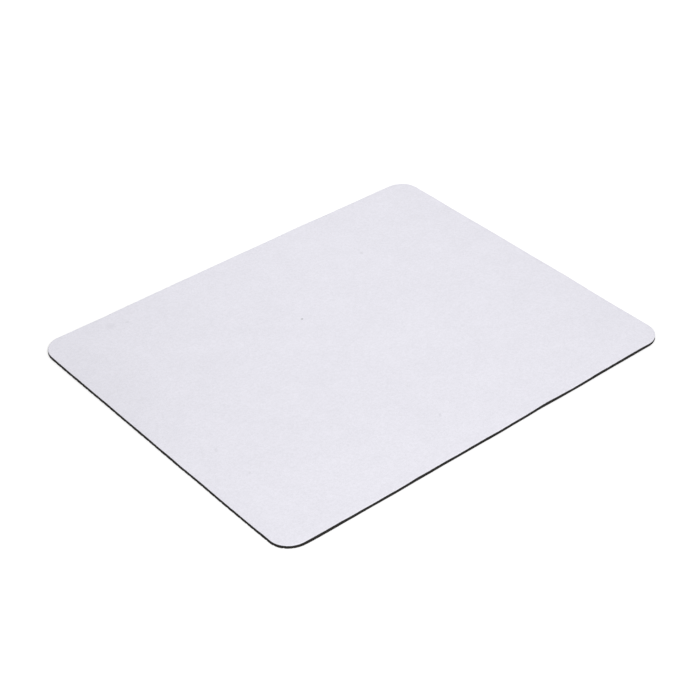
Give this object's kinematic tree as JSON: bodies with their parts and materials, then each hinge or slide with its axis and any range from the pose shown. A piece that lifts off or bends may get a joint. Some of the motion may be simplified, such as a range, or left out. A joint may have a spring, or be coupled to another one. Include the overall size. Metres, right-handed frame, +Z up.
{
  "type": "mouse pad",
  "caption": "Thin rectangular mouse pad with rounded corners: plain white knitted cloth face bonded to a black foam rubber base with a wavy anti-slip tread underneath.",
  "frame": {"origin": "middle of the pad's outline, on the flat lands of the tread that the pad lies on", "axes": "+Z up out of the cloth face, +X along the long side, +Y along the short side"},
  "size_m": [0.26, 0.21, 0.002],
  "materials": {
    "cloth": "matt white knitted polyester with a fine, close pile",
    "film": "milky heat-set adhesive film",
    "rubber": "matt black foam rubber with a moulded skin underneath and a die-cut edge"
  },
  "bodies": {
    "root": {"cloth_face": "cloth", "bonding_film": "film", "rubber_base": "rubber"}
  },
  "joints": []
}
